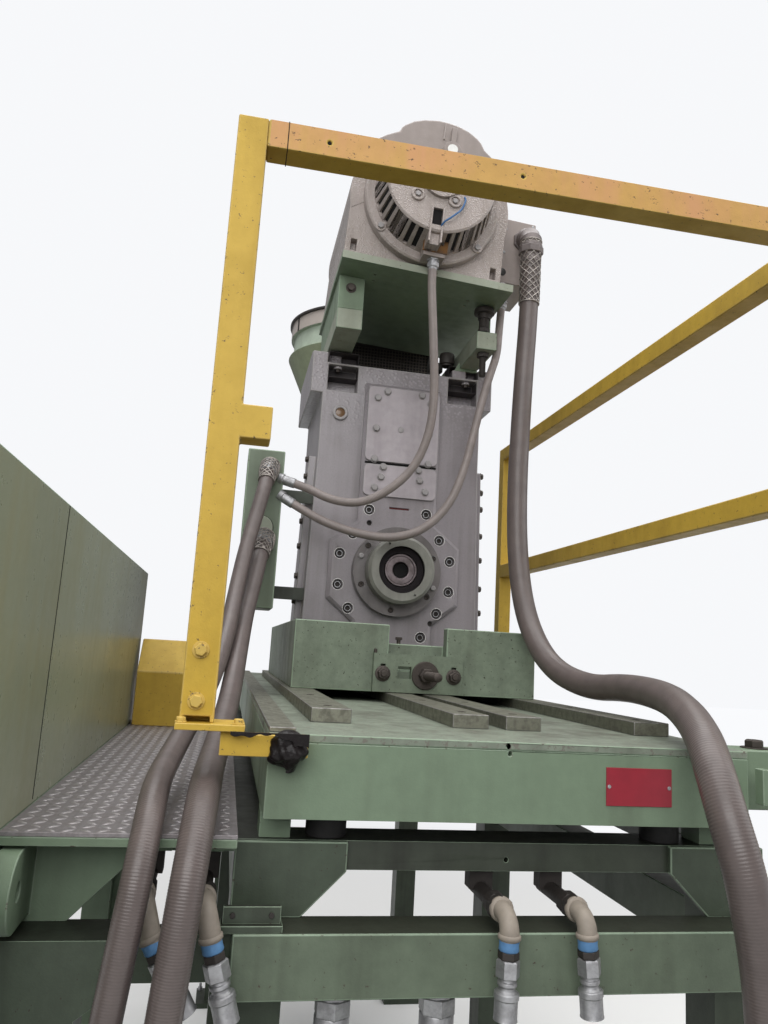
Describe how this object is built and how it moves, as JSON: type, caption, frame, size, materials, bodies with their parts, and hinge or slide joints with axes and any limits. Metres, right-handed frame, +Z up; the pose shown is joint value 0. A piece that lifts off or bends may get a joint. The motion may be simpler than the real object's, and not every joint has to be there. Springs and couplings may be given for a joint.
{
  "type": "extruder station of a blow molding machine",
  "caption": "Drive end of a blow molding extruder: hinged motor plate, gearbox, sliding carriage on ways, table, base frame, guard rails and walkway.",
  "frame": {"origin": "floor level under the middle of the whole footprint", "axes": "+Z up; +Y along the screw axis, from the drive end towards the barrel outlet; +X to the right seen from the drive end"},
  "size_m": [1.7604, 3.619, 3.2356],
  "materials": {
    "band_steel": "dull",
    "bare_steel": "machined",
    "black_rubber": "matt",
    "conduit_grey": "satin",
    "dark_steel": "oiled",
    "fitting_tan": "dirty",
    "gearbox_grey": "worn satin",
    "guard_yellow": "worn gloss",
    "machine_green": "worn satin",
    "mesh_black": "satin",
    "motor_cream": "satin",
    "plate_red": "gloss",
    "tread_plate": "worn"
  },
  "bodies": {
    "frame": {"adjuster_plate": "machine_green", "adjuster_screws": "dark_steel", "barrel_cover": "band_steel", "barrel_flange": "band_steel", "barrel_support": "machine_green", "base_beams": "machine_green", "base_gussets": "machine_green", "base_legs": "machine_green", "base_side_leg": "machine_green", "base_upper_frame": "machine_green", "bearing_cover": "gearbox_grey", "belt_guard": "mesh_black", "box_brackets": "machine_green", "cabinet_body": "machine_green", "cabinet_stand": "machine_green", "carriage_frame": "machine_green", "conduit_fittings": "band_steel", "conduit_left_large": "conduit_grey", "conduit_left_small": "conduit_grey", "conduit_loop_lower": "conduit_grey", "conduit_loop_upper": "conduit_grey", "conduit_right": "conduit_grey", "feed_hopper": "machine_green", "feed_throat": "machine_green", "gearbox_covers": "gearbox_grey", "gearbox_fittings": "gearbox_grey", "gearbox_front_plate": "gearbox_grey", "gearbox_housing": "gearbox_grey", "guard_foot_bracket": "guard_yellow", "guard_front_post": "guard_yellow", "guard_outrigger": "machine_green", "guard_right_posts": "guard_yellow", "guard_side_rails": "guard_yellow", "guard_top_rail": "guard_yellow", "hinge_bar": "machine_green", "isolation_pads": "black_rubber", "jackscrew": "dark_steel", "junction_box": "machine_green", "lifting_eye": "dark_steel", "motor_arms": "machine_green", "motor_bracket": "motor_cream", "motor_frame": "motor_cream", "motor_front_bell": "motor_cream", "motor_hood": "motor_cream", "motor_plate": "machine_green", "table_feet": "machine_green", "table_frame": "machine_green", "table_top": "machine_green", "terminal_box": "motor_cream", "walkway_bracket": "machine_green", "walkway_frame": "machine_green", "walkway_plate": "tread_plate", "warning_plate": "plate_red", "water_elbows": "fitting_tan", "water_pipes": "dark_steel", "way_bars": "bare_steel", "wireway": "machine_green", "yellow_box": "guard_yellow"},
    "shaft": {"output_shaft": "bare_steel"}
  },
  "joints": [
    {"name": "shaft_spin", "type": "hinge", "parent": "frame", "child": "shaft", "pos_m": [0.2698, -0.2895, 1.811], "axis": [0, 1, 0], "continuous": true}
  ]
}
